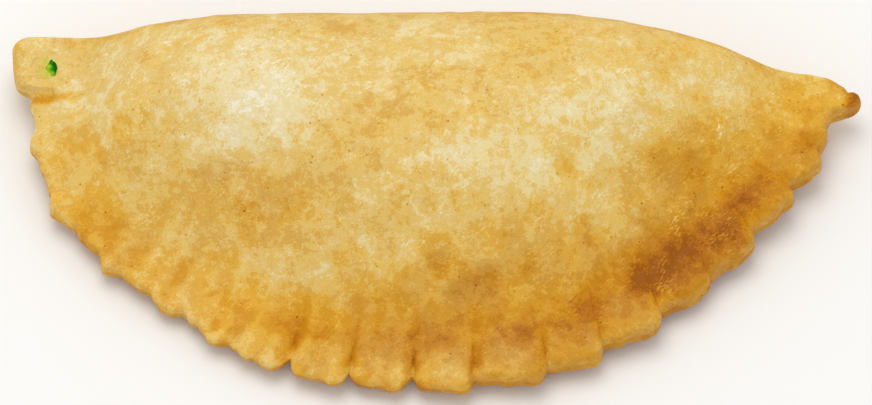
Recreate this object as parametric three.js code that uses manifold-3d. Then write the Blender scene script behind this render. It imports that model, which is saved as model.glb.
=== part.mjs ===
// A half-moon empanada: a round of dough folded once over its filling, the open edge pressed into a
// crimped rim. Millimetres, +Z up. The fold runs along the back (+Y), the crimped rim round the front (-Y),
// a square dough tab ends the fold on the left (-X) and a pinched tip ends it on the right (+X).
// The origin lies under the middle of the pastry's box, on the surface that it rests on.
import * as THREE from "three";
import { mergeVertices } from "three/addons/utils/BufferGeometryUtils.js";
import Module from "manifold-3d";

// Driving dimensions.
const LENGTH = 150; // end of the tab to the end of the tip
const DEPTH = 68; // back of the fold to the plain line of the rim
const HEIGHT = 32; // table to the top of the belly
const RIM_WIDTH = 11; // pressed rim outside the filling, in the middle
const TAB_RIM_WIDTH = 5; // the same beside the tab and beside the tip
const TIP_RIM_WIDTH = 8;
const RIM_THICKNESS = 5; // the two dough sheets of the rim together, as they are towards the tip
const PRESSED_THICKNESS = 2.8; // the same where they are pressed thin, from the tab to the middle
const RIM_LIFT = 1.8; // air under the rim at the front
const FOLD_HEIGHT = 14.5; // height of the fold's outermost line
const TAB_HEIGHT = 7.8; // middle height of the dough at the end of the tab
const TAB_STEP = 0.6; // share of that height that the rim drops at once beside the tab
const TIP_HEIGHT = 7;

// Crimps: the width of each one along the rim, from tab to tip, before they are fitted to its length.
const CRIMP_WIDTHS = [
  11.6, 14.8, 11, 14, 11.6, 11, 10.8, 11.2, 11.1, 12.8, 11, 12.2, 11.2, 11.8, 10.8, 8.6, 5.1,
];
const CRIMP_BULGE = 1.9; // how far a round crimp stands out beyond its notches
const CRIMP_LEAN = 2.6; // how far the trailing corner of a slanting crimp stands out
const CRIMP_NOTCH = 0.3; // how far a notch cuts into the plain line
const NOTCH_CUT = 0.9; // how much further it cuts in the middle of the rim
const CRIMP_LIFT = 0.3; // how far a crimp rises or droops against its neighbours
const CRIMP_STEP = 0.7; // step down from a crimp's trailing side to the next one
const CRIMP_RAMP = 2; // length along the rim over which the crimps begin and end
const CREASE_DEPTH = 0.8; // crease between two crimps, at the edge
const CREASE_WIDTH = 1;
const CREASE_ROWS = 0.62; // how far in over the rim a crease reaches
const STEP_ROWS = 0.42; // the same towards the tip
const PILLOW = 0.3; // rise of a crimp's middle over its sides
const SOFT_EDGE = 3.2; // depth of the soft rounding of a crimp's edge, in the middle of the rim
const EDGE_RAG = 0.2; // unevenness of the edge

// Plan outline, as shares of half the length and half the depth. It starts at the end of the tab.
const TAB_END = [-1, 0.86];
const RIM_LINE = [
  [-0.994, 0.76],
  [-0.985, 0.715],
  [-0.952, 0.675],
  [-0.944, 0.58],
  [-0.94, 0.42],
  [-0.885, 0.04],
  [-0.772, -0.265],
  [-0.635, -0.51],
  [-0.373, -0.85],
  [0, -0.98],
  [0.24, -0.93],
  [0.38, -0.815],
  [0.627, -0.406],
  [0.827, 0.116],
  [0.905, 0.35],
  [0.915, 0.48],
  [0.934, 0.558],
  [0.964, 0.586],
  [0.99, 0.611],
];
const RIM_FIRST = 3; // the crimps run between these two points of the line, counted from the tab's end
const RIM_LAST = 16;
const TIP_END = [1, 0.635];
const FOLD_LINE = [
  [-0.998, 0.95],
  [-0.98, 0.995],
  [-0.94, 1.008],
  [-0.7, 0.98],
  [-0.4, 0.985],
  [0, 1],
  [0.35, 0.98],
  [0.6, 0.885],
  [0.8, 0.78],
  [0.925, 0.755],
  [0.958, 0.71],
  [0.975, 0.684],
  [0.993, 0.664],
];

// Belly: how far in from the rim and from the fold it reaches its full height.
const BELLY_REACH = 34;
const BELLY_END_REACH = 25; // towards the tab and the tip
const BELLY_FULLNESS = 2; // 1 is a straight slope from the rim, larger is plumper
const BELLY_START = 4; // softness of the bend from the rim to the belly
const FOLD_REACH = 24;
const UNDER_REACH = 15; // from the fold to the flat underside
const FOLD_SPAN = [-64, -36, 44, 72]; // x where the fold starts to rise, is full, starts to fall, is flat
const TAB_FLAT = [8, 26]; // distances from the tab's end where the belly starts to rise and is free of it

// Soft hollows and swellings of the belly where the filling lies unevenly: x, y, reach in x and y, rise.
const SWELLINGS = [
  [-33, 8, 16, 14, 0.8],
  [8, 2, 14, 11, 0.7],
  [34, 10, 14, 11, 0.9],
  [4, -13, 9, 5, -1.3],
  [-22, -12, 11, 6, 0.8],
  [24, -9, 10, 5, -0.9],
  [44, 0, 10, 8, -1.2],
  [-54, 6, 8, 9, -1],
];

// A fleck of green herb that lies on the tab.
const FLECK_PLACE = [-67.9, 26.9];
const FLECK_SIZE = [1.6, 2.8, 0.9];

// Mesh: stations along each crimp, rows from the edge to the inner line where both sides meet, that line.
const CRIMP_STATIONS = [0, 0.12, 0.36, 0.62, 0.84, 0.94];
const TAB_STATIONS = 6;
const TIP_STATIONS = 5;
const RIM_ROWS = [0, 0.035, 0.13, 0.32, 0.56, 0.8, 1];
const BELLY_ROWS = [0.1, 0.24, 0.42, 0.62, 0.82, 1];
const UNDER_RIM_ROWS = [0, 0.05, 0.22, 0.5, 0.8];
const UNDER_BELLY_ROWS = [0.08, 0.3, 0.6, 1];
const INNER_REACH = 0.74; // share of the half length that the inner line reaches to each side
const INNER_BACK = 13; // its y in the middle

const { clamp, lerp, smoothstep } = THREE.MathUtils;

// A curve through plan points given as shares of the half sizes.
function planCurve(shares) {
  const points = shares.map(([x, y]) => new THREE.Vector3((x * LENGTH) / 2, (y * DEPTH) / 2, 0));
  return new THREE.CatmullRomCurve3(points, false, "centripetal");
}

function segments(curve, count) {
  const points = curve.getSpacedPoints(count);
  return points.slice(1).map((point, i) => new THREE.Line3(points[i], point));
}

const rimCurve = planCurve([TAB_END, ...RIM_LINE, TIP_END]);
const foldCurve = planCurve([TAB_END, ...FOLD_LINE, TIP_END]);
const FINE = 60;
const spans = RIM_LINE.length + 1;
rimCurve.arcLengthDivisions = spans * FINE;
const rimLengths = rimCurve.getLengths(spans * FINE);
const rimLength = rimLengths[spans * FINE];
const crimpStart = rimLengths[RIM_FIRST * FINE];
const crimpEnd = rimLengths[RIM_LAST * FINE];
const tabEnd = rimCurve.getPointAt(0);
const tipEnd = rimCurve.getPointAt(1);
const rimSegments = segments(rimCurve, 240);
const foldSegments = segments(foldCurve, 120);

// A wave between -1 and 1 that makes neighbouring crimps differ.
const uneven = (index) => Math.sin(2.4 * index + 0.6);

// Each crimp's first notch and width, fitted to the rim.
const crimpFit = (crimpEnd - crimpStart) / CRIMP_WIDTHS.reduce((sum, width) => sum + width, 0);
const crimps = [];
CRIMP_WIDTHS.reduce((start, width, index) => {
  crimps.push({ start, width: width * crimpFit, wave: uneven(index) });
  return start + width * crimpFit;
}, crimpStart);

// The places along the rim, from the tab's end to the tip's end, that get a column of the mesh.
function rimStations() {
  const stations = [];
  for (let i = 0; i < TAB_STATIONS; i++) stations.push({ along: (crimpStart * i) / TAB_STATIONS });
  for (const { start, width, wave } of crimps)
    for (const phase of CRIMP_STATIONS) {
      stations.push({ along: start + phase * width, crimp: { phase, width, wave } });
    }
  for (let i = 0; i <= TIP_STATIONS; i++) {
    stations.push({ along: lerp(crimpEnd, rimLength, i / TIP_STATIONS) });
  }
  return stations;
}

// What a crimp does to the dough at one place: how far the edge stands out, how high the dough lies, and
// the crease. Crimps are round in the middle of the rim and slant to a corner towards its ends, where they
// are pressed less.
function crimpShape(along, { phase, width, wave }) {
  const side = Math.abs(2 * phase - 1);
  const share = along / rimLength;
  const begun = smoothstep(along, crimpStart, crimpStart + CRIMP_RAMP);
  const on = begun * (1 - smoothstep(along, crimpEnd - CRIMP_RAMP, crimpEnd));
  const lowered = lerp(1, 0.75, smoothstep(share, 0.62, 0.85));
  const pressed = lerp(0.12, 1, smoothstep(share, 0.2, 0.38)) * lowered;
  const creased = smoothstep(share, 0.22, 0.36) * lerp(1, 0.6, smoothstep(share, 0.61, 0.68));
  const rounded = 0.65 * smoothstep(share, 0.28, 0.36) * (1 - smoothstep(share, 0.5, 0.6));
  const cut = smoothstep(share, 0.18, 0.3) * (1 - smoothstep(share, 0.5, 0.56));
  const slant = CRIMP_LEAN * phase ** 1.2 * (1 - phase ** 16) * lerp(0.6, 1, smoothstep(share, 0.15, 0.3));
  const hump = CRIMP_BULGE * (1 - side ** 4);
  const stand = lerp(slant, hump, rounded) * (1 - 0.6 * smoothstep(share, 0.9, 0.97));
  const rag = EDGE_RAG * Math.sin(0.9 * along + 1.5 * Math.sin(0.31 * along));
  const atCrease = Math.exp(-((((1 - side) * width) / 2 / CREASE_WIDTH) ** 2));
  const step = CRIMP_LIFT * wave * (1 - side ** 4) + CRIMP_STEP * (phase - 0.5) * (1 - side ** 8);
  return {
    out: on * ((1 + 0.15 * wave) * stand - CRIMP_NOTCH + rag - NOTCH_CUT * cut * atCrease),
    raise: on * pressed * step,
    pillow: on * pressed * PILLOW * (1 - side ** 2),
    crease: on * creased * CREASE_DEPTH * atCrease,
    creaseRows: lerp(CREASE_ROWS, STEP_ROWS, smoothstep(share, 0.6, 0.67)),
    rounded,
  };
}

const PLAIN = { out: 0, raise: 0, pillow: 0, crease: 0, creaseRows: 1, rounded: 0 };

// Half the thickness of the rim.
function halfRim(along) {
  const share = along / rimLength;
  const thin = smoothstep(share, 0.05, 0.14) * (1 - smoothstep(share, 0.49, 0.58));
  return lerp(RIM_THICKNESS, PRESSED_THICKNESS, thin) / 2;
}

// Middle height of the dough of the rim: low at the front, lifted towards the tip, with the tab a step
// higher. The step is sharp at the edge, row 0, and dies away inwards, past row 1 where the belly starts.
function edgeHeight(along, row) {
  const front = RIM_LIFT + halfRim(along);
  const tab = 1 - smoothstep(along, crimpStart - 1.5, crimpStart + 1.5);
  const nearTab = 1 - smoothstep(along, crimpStart - 4, crimpStart + 40);
  const nearTip = smoothstep(along, crimpEnd - 40, rimLength);
  const stepped = TAB_STEP * (1 - smoothstep(row, 0.3, 1.15));
  return front + (TAB_HEIGHT - front) * lerp(nearTab, tab, stepped) + (TIP_HEIGHT - front) * nearTip;
}

function rimWidthAt(x) {
  const middle = lerp(TAB_RIM_WIDTH, RIM_WIDTH, smoothstep(x, -0.48 * LENGTH, -0.13 * LENGTH));
  return lerp(middle, TIP_RIM_WIDTH, smoothstep(x, 0.2 * LENGTH, 0.48 * LENGTH));
}

const bluntEdge = (t) => (1 - (1 - clamp(t, 0, 1)) ** 3) ** (1 / 3);
const roundEdge = (t) => Math.sqrt(1 - (1 - clamp(t, 0, 1)) ** 2);

// Least distance in plan from a point to a line of segments.
const foot = new THREE.Vector3();
function distanceTo(line, at) {
  let least = Infinity;
  for (const segment of line) {
    segment.closestPointToPoint(at, true, foot);
    least = Math.min(least, foot.distanceTo(at));
  }
  return least;
}

function swelling({ x, y }) {
  return SWELLINGS.reduce(
    (sum, [cx, cy, rx, ry, rise]) => sum + rise * Math.exp(-(((x - cx) / rx) ** 2) - ((y - cy) / ry) ** 2),
    0,
  );
}

// Where the columns of the two sides meet, over the share of the way from tab to tip. The line that these
// places make points at the tab's end on the left and at the tip's end on the right.
function innerPoint(share) {
  const across = 2 * share - 1;
  const end = across < 0 ? tabEnd : tipEnd;
  const endBack = lerp(INNER_BACK, end.y, INNER_REACH / (2 - INNER_REACH));
  const y = lerp(INNER_BACK, endBack, across ** 2);
  return new THREE.Vector3(INNER_REACH * end.x * Math.abs(across), y, 0);
}

// The dough at one share of the way from tab to tip: what the rim and the fold are like there.
function dough({ along, crimp }) {
  const share = along / rimLength;
  const fold = foldCurve.getPointAt(share);
  const [rises, isFull, falls, isFlat] = FOLD_SPAN;
  const full = smoothstep(fold.x, rises, isFull) * (1 - smoothstep(fold.x, falls, isFlat));
  const shape = crimp ? crimpShape(along, crimp) : PLAIN;
  const foldMiddle = lerp(edgeHeight(share < 0.5 ? 0 : rimLength, 0), FOLD_HEIGHT, full);
  const half = halfRim(along);
  return { ...shape, along, share, half, fold, full, foldMiddle, inner: innerPoint(share) };
}

function rimMiddle({ along, raise, width }, row, dRim) {
  return edgeHeight(along, dRim / width) + raise * (1 - smoothstep(row, 0.35, 1));
}

// Roundness of the edge, d in from it: 0 at the edge itself, 1 where the dough has its full thickness.
function edgeRound({ onFold, half, rounded }, d) {
  return bluntEdge(d / (onFold ? RIM_THICKNESS / 2 : lerp(half, SOFT_EDGE, rounded)));
}

// Points of a column from the edge to the inner line. Each has its distance in from the edge and its row,
// which runs from 0 at the edge to 1 where the belly starts and 2 at the inner line.
function columnPoints(edge, width, inner, rimRows, bellyRows) {
  const valley = edge.clone().lerp(inner, width / edge.distanceTo(inner));
  const rows = [...rimRows, ...bellyRows.map((row) => 1 + row)];
  return rows.map((row) => {
    const at = row < 1 ? edge.clone().lerp(valley, row) : valley.clone().lerp(inner, row - 1);
    return { at, row, d: at.distanceTo(edge) };
  });
}

function topHeight(place, { at, row, d }) {
  const { pillow, crease, creaseRows, half, full, foldMiddle, onFold } = place;
  const dRim = distanceTo(rimSegments, at);
  const dFold = distanceTo(foldSegments, at);
  const blunt = edgeRound(place, d);
  const pad = pillow * Math.sin(Math.PI * clamp(row, 0, 1));
  const relief = onFold ? 0 : pad - crease * (1 - smoothstep(row, 0.1, creaseRows));
  const rimTop = rimMiddle(place, row, dRim) + half * blunt;
  const foldTop = foldMiddle + (RIM_THICKNESS / 2) * (1 - full) * blunt;
  const base = lerp(rimTop, foldTop, smoothstep(dRim / (dRim + dFold + 1e-6), 0.3, 0.8)) + blunt * relief;
  const inward = dRim - rimWidthAt(at.x);
  const soft = (inward + Math.hypot(inward, BELLY_START)) / 2;
  const reach = lerp(BELLY_REACH, BELLY_END_REACH, smoothstep(Math.abs(at.x), 0.13 * LENGTH, 0.4 * LENGTH));
  const fromRim = 1 - (1 - clamp(soft / reach, 0, 1)) ** BELLY_FULLNESS;
  const fromTab = smoothstep(at.distanceTo(tabEnd), TAB_FLAT[0], TAB_FLAT[1]);
  const rise = blunt * fromRim * fromTab * roundEdge(dFold / FOLD_REACH);
  return lerp(base, HEIGHT + swelling(at), rise);
}

function underHeight(place, { at, row, d }) {
  const { crease, half, full, foldMiddle, onFold, width } = place;
  const dRim = distanceTo(rimSegments, at);
  const dFold = distanceTo(foldSegments, at);
  const blunt = edgeRound(place, d);
  const dip = onFold ? 0 : 0.4 * crease * (1 - smoothstep(d, 0, width));
  const rimUnder = rimMiddle(place, row, dRim) - (half - dip) * blunt;
  const foldUnder = foldMiddle - (RIM_THICKNESS / 2) * (1 - full) * blunt;
  const base = lerp(rimUnder, foldUnder, smoothstep(dRim / (dRim + dFold + 1e-6), 0.3, 0.8));
  const fromRim = blunt * smoothstep(dRim / rimWidthAt(at.x), 0.4, 1.5);
  return base * (1 - fromRim * roundEdge(dFold / UNDER_REACH));
}

function column(place, edge) {
  const { width, inner } = place;
  const raise = (point, height) => point.at.clone().setZ(height(place, point));
  const top = columnPoints(edge, width, inner, RIM_ROWS, BELLY_ROWS);
  const under = columnPoints(edge, width, inner, UNDER_RIM_ROWS, UNDER_BELLY_ROWS);
  return {
    top: top.map((point) => raise(point, topHeight)),
    under: under.map((point) => raise(point, underHeight)),
  };
}

function rimColumn(station) {
  const here = dough(station);
  const tangent = rimCurve.getTangentAt(here.share);
  const base = rimCurve.getPointAt(here.share);
  const edge = base.clone().add(new THREE.Vector3(tangent.y, -tangent.x, 0).multiplyScalar(here.out));
  return column({ ...here, onFold: false, width: rimWidthAt(base.x) }, edge);
}

function foldColumn(station) {
  const here = dough(station);
  return column({ ...here, onFold: true, width: rimWidthAt(here.fold.x) }, here.fold);
}

// Joins neighbouring columns of points with two triangles to each cell.
function sheet(columns, flip, positions) {
  for (let i = 0; i + 1 < columns.length; i++)
    for (let k = 0; k + 1 < columns[i].length; k++) {
      const [a, b, c, d] = [columns[i][k], columns[i + 1][k], columns[i + 1][k + 1], columns[i][k + 1]];
      const corners = flip ? [a, c, b, a, d, c] : [a, b, c, a, c, d];
      for (const corner of corners) positions.push(corner.x, corner.y, corner.z);
    }
}

function pastryGeometry() {
  const stations = rimStations();
  const front = stations.map(rimColumn);
  const back = stations.map(foldColumn);
  const positions = [];
  sheet(front.map((column) => column.top), false, positions);
  sheet(front.map((column) => column.under), true, positions);
  sheet(back.map((column) => column.top), true, positions);
  sheet(back.map((column) => column.under), false, positions);
  const geometry = new THREE.BufferGeometry();
  geometry.setAttribute("position", new THREE.Float32BufferAttribute(positions, 3));
  return mergeVertices(geometry, 1e-3);
}

const wasm = await Module();
wasm.setup();

// A closed solid from a geometry's positions.
function solid(geometry) {
  const bare = geometry.clone();
  bare.deleteAttribute("normal");
  bare.deleteAttribute("uv");
  const merged = mergeVertices(bare, 1e-4);
  const vertProperties = new Float32Array(merged.attributes.position.array);
  const triVerts = new Uint32Array(merged.index.array);
  return new wasm.Manifold(new wasm.Mesh({ numProp: 3, vertProperties, triVerts }));
}

// The fleck is a flat grain half sunk into the tab's upper face.
function fleckGeometry(pastry) {
  const above = new THREE.Vector3(...FLECK_PLACE, 2 * HEIGHT);
  const sight = new THREE.Raycaster(above, new THREE.Vector3(0, 0, -1));
  const { point } = sight.intersectObject(new THREE.Mesh(pastry))[0];
  const grain = new THREE.SphereGeometry(0.5, 8, 5).rotateX(Math.PI / 2);
  return grain.scale(...FLECK_SIZE).translate(point.x, point.y, point.z);
}

function empanadaGeometry() {
  const pastry = pastryGeometry();
  const joined = solid(pastry).add(solid(fleckGeometry(pastry))).getMesh();
  const geometry = new THREE.BufferGeometry();
  geometry.setAttribute("position", new THREE.BufferAttribute(joined.vertProperties, 3));
  geometry.setIndex(new THREE.BufferAttribute(joined.triVerts, 1));
  geometry.computeBoundingBox();
  const middle = geometry.boundingBox.getCenter(new THREE.Vector3());
  return geometry.translate(-middle.x, -middle.y, -geometry.boundingBox.min.z);
}

const crust = new THREE.MeshStandardMaterial({ color: 0xdcb56a, roughness: 0.62, metalness: 0 });
crust.name = "fried_dough";
const empanada = new THREE.Mesh(empanadaGeometry(), crust);
empanada.name = "empanada";

const part = new THREE.Group();
part.add(empanada);
export default part;
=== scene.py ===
"""The looks of a fried half-moon empanada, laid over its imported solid. Sizes are in millimetres."""
import math

import bpy
import numpy as np
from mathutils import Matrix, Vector, noise


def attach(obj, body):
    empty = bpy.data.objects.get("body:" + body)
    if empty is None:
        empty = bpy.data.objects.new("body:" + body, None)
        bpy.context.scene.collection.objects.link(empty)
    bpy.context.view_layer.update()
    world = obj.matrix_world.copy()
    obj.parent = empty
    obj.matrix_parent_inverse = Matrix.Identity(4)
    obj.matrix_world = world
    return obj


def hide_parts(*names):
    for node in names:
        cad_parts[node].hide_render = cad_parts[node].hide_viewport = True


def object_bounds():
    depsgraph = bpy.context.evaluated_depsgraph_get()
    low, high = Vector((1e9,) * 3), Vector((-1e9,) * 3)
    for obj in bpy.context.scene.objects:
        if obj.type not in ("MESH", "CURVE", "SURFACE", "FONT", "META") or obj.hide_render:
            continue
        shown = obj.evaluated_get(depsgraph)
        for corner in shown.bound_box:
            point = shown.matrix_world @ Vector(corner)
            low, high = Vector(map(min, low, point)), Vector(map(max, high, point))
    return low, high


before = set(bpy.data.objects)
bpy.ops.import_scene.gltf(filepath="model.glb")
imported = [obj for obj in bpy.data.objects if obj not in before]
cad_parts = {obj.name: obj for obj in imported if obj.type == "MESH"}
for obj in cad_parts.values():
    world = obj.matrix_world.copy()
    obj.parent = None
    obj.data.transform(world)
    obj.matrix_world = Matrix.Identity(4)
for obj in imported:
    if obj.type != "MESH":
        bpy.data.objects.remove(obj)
CAD_LOW, CAD_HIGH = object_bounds()
MM = 0.001

# The pastry's overall sizes, as its solid has them.
LENGTH, DEPTH, HEIGHT = 150.0, 68.0, 32.0
RIM_WIDTH, TAB_RIM_WIDTH, TIP_RIM_WIDTH = 11.0, 5.0, 8.0
RIM_THICKNESS, PRESSED_THICKNESS, RIM_LIFT = 5.0, 2.8, 1.8
FOLD_HEIGHT, TAB_HEIGHT, TIP_HEIGHT = 14.5, 7.8, 7.0

# Outlines in shares of half the length and half the depth, from the tab's end to the tip.
TAB_END, TIP_END = (-1, 0.86), (1, 0.635)
RIM_LINE = [
    (-0.994, 0.76), (-0.985, 0.715), (-0.952, 0.675), (-0.944, 0.58), (-0.94, 0.42), (-0.885, 0.04),
    (-0.765, -0.254), (-0.63, -0.5), (-0.373, -0.85), (0, -0.98), (0.238, -0.922), (0.375, -0.803),
    (0.627, -0.406), (0.827, 0.116), (0.905, 0.35), (0.915, 0.48), (0.934, 0.558), (0.9635, 0.58),
    (0.9935, 0.606),
]
FOLD_LINE = [
    (-0.998, 0.95), (-0.98, 0.995), (-0.94, 1.008), (-0.7, 0.98), (-0.4, 0.985), (0, 1), (0.35, 0.98),
    (0.6, 0.874), (0.8, 0.774), (0.925, 0.755), (0.958, 0.71), (0.976, 0.686), (0.996, 0.664),
]
# The crimps run from the third to the sixteenth point of the rim's line.
RIM_FIRST, RIM_LAST = 3, 16
# Where the fold rises to its full height and where it comes down again, from left to right.
FOLD_RISES, FOLD_FALLS = (-64, -36), (44, 72)
# Where the rim grows from the tab's width and narrows to the tip's, in shares of the length.
RIM_WIDENS, RIM_NARROWS = (-0.48, -0.13), (0.2, 0.48)

# Widths of the crimps, from the tab to the tip, before they are fitted to the rim's length.
CRIMP_WIDTHS = [9.8, 12.4, 14.2, 12.3, 10.7, 14.6, 10.8, 11.2, 11.1,
                12.8, 11, 12.2, 11.2, 11.8, 10.8, 8.6, 5.1]
# How far crimps bulge or lean out, how far back they set off, and the cut between two of them.
CRIMP_BULGE, CRIMP_LEAN, CRIMP_NOTCH, NOTCH_CUT = 1.9, 2.6, 0.3, 0.9
CRIMP_LIFT, CRIMP_STEP, PILLOW, CRIMP_RAMP = 0.3, 0.7, 0.3, 2.0
CREASE_DEPTH, CREASE_WIDTH = 0.8, 1.0
# A leaning crimp is a saw tooth: powers of its slow rise and sudden drop, and its growth to the right.
TOOTH_RISE, TOOTH_DROP, TOOTH_GROWTH = 1.2, (16, 9), 1.1
# Small pointed hooks where two crimps meet on the left: height, foot, and length of either flank.
HOOK_RISE, HOOK_BASE, HOOK_FRONT, HOOK_BACK = 1.65, 0.85, 2.8, 3.0
# No two crimps are alike: a sine that goes on by so many radians a crimp, and its share in their bulge.
UNEVEN_TURN, UNEVEN_START, UNEVEN_BULGE = 2.4, 0.6, 0.15
# The edge's long waves: height, radians a millimetre, and how the waves themselves drift.
EDGE_RAG, RAG_WAVE, RAG_DRIFT, RAG_SWING = 0.2, 0.9, 0.31, 1.5
FINE_RAG, RAG_SPACING, RAG_SEED = 0.45, 1.5, 7.0
# The soft edge of the rounded crimps, and how far the thin rim's wall leans in.
SOFT_EDGE, LIP = 3.2, 0.75

# Stretches of the rim, in shares of its length from the tab, over which a form comes in or goes out.
THIN_STARTS, THIN_ENDS = (0.05, 0.14), (0.49, 0.58)
LIP_STARTS, LIP_ENDS = (0.05, 0.12), (0.5, 0.6)
HOOKS_GROW, HOOKS_END = (0.1, 0.2), (0.338, 0.36)
PRESSING_STARTS, PRESSING_EASES = (0.2, 0.38), (0.62, 0.85)
CREASING_STARTS, CREASING_EASES = (0.22, 0.36), (0.61, 0.68)
CREASES_SHORTEN = (0.6, 0.67)
ROUNDING_STARTS, ROUNDING_ENDS = (0.32, 0.36), (0.5, 0.6)
NOTCHES_START, NOTCHES_END = (0.35, 0.38), (0.5, 0.56)
RAGS_START, RAGS_EASE = (0.08, 0.14), (0.4, 0.5)
RIBS_START, RIBS_EASE = (0.1, 0.2), (0.42, 0.55)
SEAM_STARTS, TIP_STARTS = (0.08, 0.2), (0.9, 0.97)
# What is left of a form at the end of the rim where it is weaker, and how far crimps are rounded.
PRESSED_AT_TAB, PRESSED_AT_TIP, CREASED_AT_TIP, HOOKED_AT_TAB = 0.12, 0.75, 0.6, 0.6
BULGE_AT_TIP, RAGGED_AT_TIP, RIBBED_AT_TIP, ROUNDNESS = 0.4, 0.5, 0.35, 0.65

# Rows count inward from the edge, 1 where the rim ends.
CREASE_FROM_ROW, CREASE_ROWS, SHORT_CREASE_ROWS = 0.1, 0.62, 0.42
RAISED_ROWS, SETTLED_ROWS, RIM_ROWS = (0.35, 1), (0.4, 1.5), (0.8, 1.4)

# The tab stands a step above the rim: the step's share of the way down, its half run, the slope beside it.
TAB_STEP, TAB_STEP_RUN, TAB_STEP_ROWS = 0.6, 1.5, (0.3, 1.15)
TAB_SLOPE_BEFORE, TAB_SLOPE_AFTER, TIP_SLOPE = 4, 40, 40

# The tab itself stays flat: distances from its end over which the belly starts.
TAB_FLAT = (8.0, 26.0)
# The belly's rise from the rim, shorter towards its ends, which are given in shares of the length.
BELLY_REACH, BELLY_END_REACH, BELLY_FULLNESS, BELLY_START = 34.0, 25.0, 2.0, 4.0
BELLY_ENDS = (0.13, 0.4)
# Its rise from the fold, above and below, and how much of a crease shows below.
FOLD_REACH, UNDER_REACH, UNDER_CREASE = 24.0, 15.0, 0.4
# Its own swellings: x, y, half sizes, rise.
SWELLINGS = [(-33, 8, 16, 14, 0.8), (8, 2, 14, 11, 0.7), (34, 10, 14, 11, 0.9), (4, -13, 9, 5, -1.3),
             (-22, -12, 11, 6, 0.8), (24, -9, 10, 5, -0.9), (44, 0, 10, 8, -1.2), (-54, 6, 8, 9, -1)]
# The line where rim side and fold side meet: its share of the length, and how far back its middle is.
INNER_REACH, INNER_BACK = 0.74, 13.0
# How far between rim and fold, in shares, the one's height gives way to the other's.
FOLD_TAKES_OVER = (0.3, 0.8)

# How finely the skin is drawn.
CURVE_STEPS, OUTWARD_STEP = 120, 0.05
RIM_PIECES, FOLD_PIECES, PLACES_AT_ONCE = 240, 120, 4000
CRIMP_COLUMNS, TAB_COLUMNS, TIP_COLUMNS, COLUMN_CROWDING = 22, 26, 14, 0.6
EDGE_TURN = np.radians([0, 5, 10, 20, 32, 45, 58, 72])
EDGE_POWER = 3
TOP_ROWS, UNDER_ROWS, ROW_CROWDING = 64, 22, 1.2
NEXT_TO_NOTHING = 1e-6


def smooth(value, low, high):
    """0 below the low value, 1 above the high one, with soft bends between."""
    t = np.clip((np.asarray(value, float) - low) / (high - low), 0, 1)
    return t * t * (3 - 2 * t)


def fade(value, start, end):
    """1 between two stretches, coming in over the first and going out over the second."""
    return smooth(value, *start) * (1 - smooth(value, *end))


def bell(value, width):
    return np.exp(-((value / width) ** 2))


def mix(a, b, t):
    return a + (b - a) * t


class PlanCurve:
    """A smooth line in plan through given shares, measured along its length."""

    def __init__(self, shares):
        knots = np.array(shares, float) * (LENGTH / 2, DEPTH / 2)
        knots = np.vstack([2 * knots[0] - knots[1], knots, 2 * knots[-1] - knots[-2]])
        t = np.linspace(0, 1, CURVE_STEPS, endpoint=False)[:, None]
        spans = []
        for a, b, c, d in zip(knots, knots[1:], knots[2:], knots[3:]):
            ab, bc, cd = (math.sqrt(np.linalg.norm(q - p)) for p, q in ((a, b), (b, c), (c, d)))
            out = ((b - a) / ab - (c - a) / (ab + bc) + (c - b) / bc) * bc
            back = ((c - b) / bc - (d - b) / (bc + cd) + (d - c) / cd) * bc
            bend, turn = 3 * (c - b) - 2 * out - back, 2 * (b - c) + out + back
            spans.append(b + out * t + bend * t**2 + turn * t**3)
        self.points = np.vstack([*spans, knots[-2]])
        self.along = np.append(0, np.cumsum(np.linalg.norm(np.diff(self.points, axis=0), axis=1)))
        self.length = self.along[-1]

    def at(self, along):
        return np.stack([np.interp(along, self.along, self.points[:, k]) for k in (0, 1)], -1)

    def outward(self, along):
        before, after = np.maximum(along - OUTWARD_STEP, 0), np.minimum(along + OUTWARD_STEP, self.length)
        step = self.at(after) - self.at(before)
        step /= np.linalg.norm(step, axis=-1, keepdims=True)
        return np.stack([step[:, 1], -step[:, 0]], -1)

    def distance(self, places, pieces):
        """How far each place in plan is from the line, drawn in that many straight pieces."""
        line = self.at(np.linspace(0, self.length, pieces + 1))
        start, run = line[:-1], np.diff(line, axis=0)
        flat = places.reshape(-1, 2)
        far = np.empty(len(flat))
        for some in np.array_split(np.arange(len(flat)), max(1, len(flat) // PLACES_AT_ONCE)):
            away = flat[some, None] - start
            t = np.clip((away * run).sum(-1) / (run * run).sum(-1), 0, 1)
            far[some] = np.sqrt(((away - t[..., None] * run) ** 2).sum(-1).min(1))
        return far.reshape(places.shape[:-1])


RIM = PlanCurve([TAB_END, *RIM_LINE, TIP_END])
FOLD = PlanCurve([TAB_END, *FOLD_LINE, TIP_END])
CRIMPS_FROM, CRIMPS_TO = RIM.along[RIM_FIRST * CURVE_STEPS], RIM.along[RIM_LAST * CURVE_STEPS]
CRIMP_SPANS = np.array(CRIMP_WIDTHS) * (CRIMPS_TO - CRIMPS_FROM) / sum(CRIMP_WIDTHS)
CRIMP_STARTS = CRIMPS_FROM + np.append(0, np.cumsum(CRIMP_SPANS)[:-1])


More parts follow.
